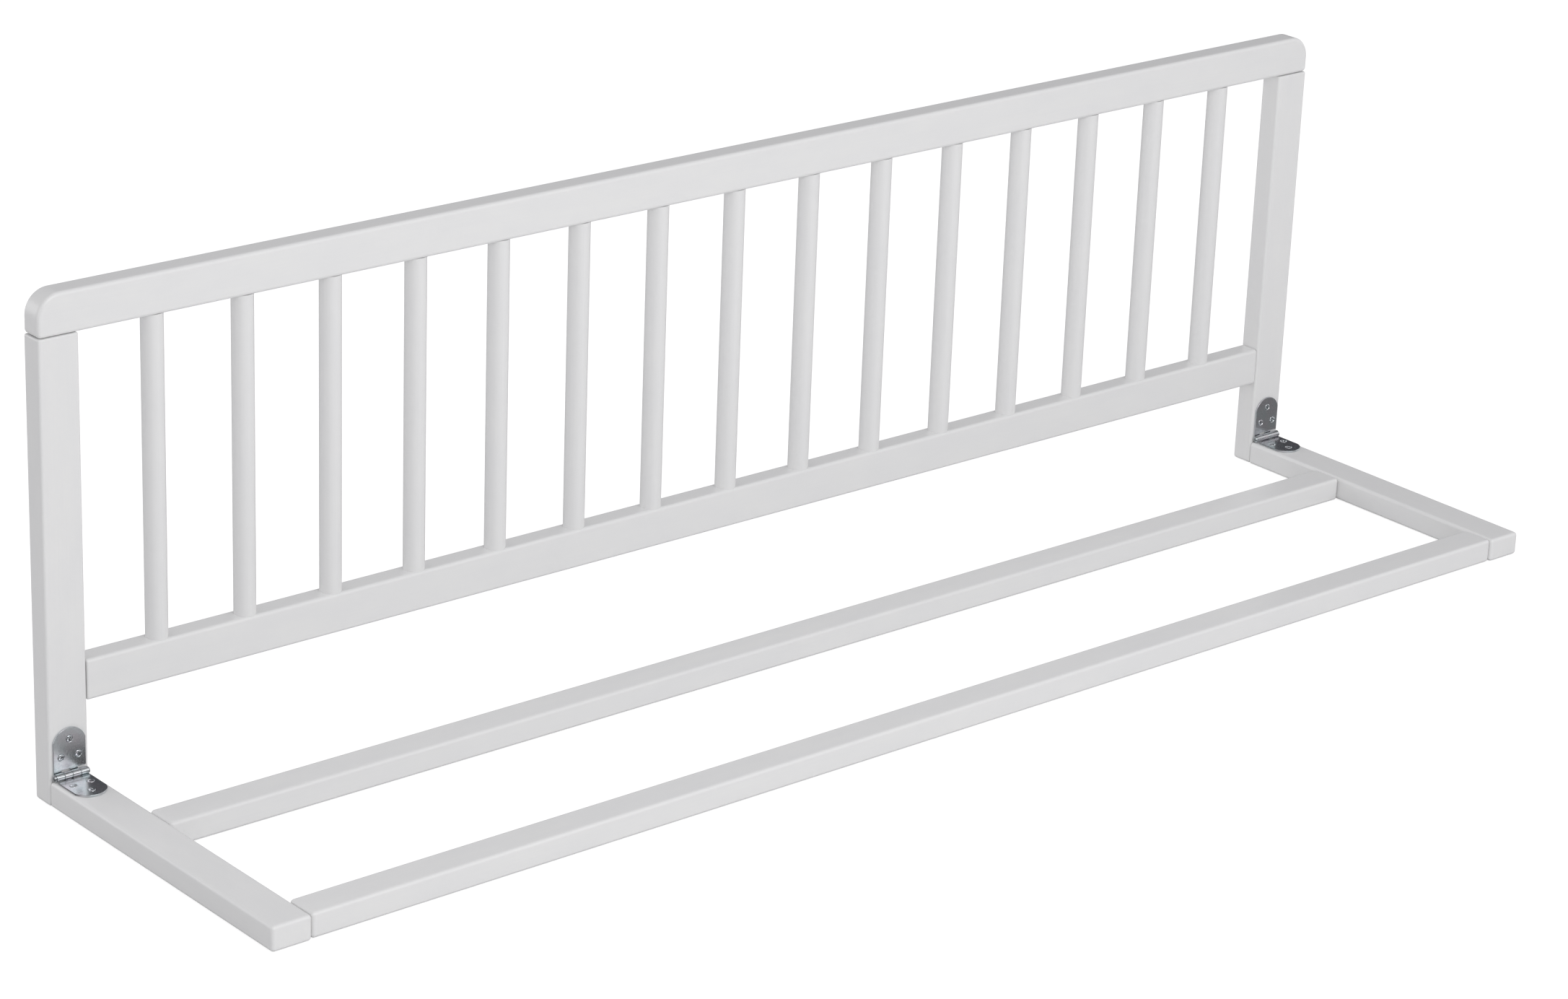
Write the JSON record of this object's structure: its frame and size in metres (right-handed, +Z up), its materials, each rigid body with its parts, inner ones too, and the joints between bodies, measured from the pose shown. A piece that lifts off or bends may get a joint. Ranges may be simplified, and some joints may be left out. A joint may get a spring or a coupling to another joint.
{
  "type": "folding bed guard rail",
  "caption": "White wooden bed guard: a spindle panel hinged upright at the back of a flat frame that slides under the mattress.",
  "frame": {"origin": "on the surface the frame lies on, under the middle of the whole part", "axes": "+X along the guard to its right end, +Y from the arm ends to the guard, +Z up"},
  "size_m": [1.35, 0.325, 0.414],
  "materials": {
    "white_lacquer": "satin white lacquer over solid wood with eased edges",
    "bare_wood": "unfinished beech dowel",
    "zinc_plate": "bright zinc plated steel pressing"
  },
  "bodies": {
    "base_frame": {"left_arm": "white_lacquer", "right_arm": "white_lacquer", "rear_cross_rail": "white_lacquer", "front_cross_rail": "white_lacquer", "left_rear_rail_dowel_1": "bare_wood", "left_rear_rail_dowel_2": "bare_wood", "left_front_rail_dowel_1": "bare_wood", "left_front_rail_dowel_2": "bare_wood", "right_rear_rail_dowel_1": "bare_wood", "right_rear_rail_dowel_2": "bare_wood", "right_front_rail_dowel_1": "bare_wood", "right_front_rail_dowel_2": "bare_wood", "left_hinge_lower_leaf": "zinc_plate", "left_hinge_lower_screw_1": "zinc_plate", "left_hinge_lower_screw_2": "zinc_plate", "left_hinge_lower_screw_3": "zinc_plate", "right_hinge_lower_leaf": "zinc_plate", "right_hinge_lower_screw_1": "zinc_plate", "right_hinge_lower_screw_2": "zinc_plate", "right_hinge_lower_screw_3": "zinc_plate"},
    "guard_panel": {"top_rail": "white_lacquer", "lower_rail": "white_lacquer", "left_stile": "white_lacquer", "right_stile": "white_lacquer", "spindle_01": "white_lacquer", "spindle_02": "white_lacquer", "spindle_03": "white_lacquer", "spindle_04": "white_lacquer", "spindle_05": "white_lacquer", "spindle_06": "white_lacquer", "spindle_07": "white_lacquer", "spindle_08": "white_lacquer", "spindle_09": "white_lacquer", "spindle_10": "white_lacquer", "spindle_11": "white_lacquer", "spindle_12": "white_lacquer", "spindle_13": "white_lacquer", "spindle_14": "white_lacquer", "spindle_15": "white_lacquer", "left_top_rail_dowel_1": "bare_wood", "left_top_rail_dowel_2": "bare_wood", "left_lower_rail_dowel_1": "bare_wood", "left_lower_rail_dowel_2": "bare_wood", "right_top_rail_dowel_1": "bare_wood", "right_top_rail_dowel_2": "bare_wood", "right_lower_rail_dowel_1": "bare_wood", "right_lower_rail_dowel_2": "bare_wood", "left_hinge_upper_leaf": "zinc_plate", "left_hinge_upper_screw_1": "zinc_plate", "left_hinge_upper_screw_2": "zinc_plate", "left_hinge_upper_screw_3": "zinc_plate", "left_hinge_pin": "zinc_plate", "right_hinge_upper_leaf": "zinc_plate", "right_hinge_upper_screw_1": "zinc_plate", "right_hinge_upper_screw_2": "zinc_plate", "right_hinge_upper_screw_3": "zinc_plate", "right_hinge_pin": "zinc_plate"}
  },
  "joints": [
    {"name": "guard_fold", "type": "hinge", "parent": "base_frame", "child": "guard_panel", "pos_m": [0, 0.13795, 0.02455], "axis": [1, 0, 0], "range_deg": [0, 90]}
  ]
}
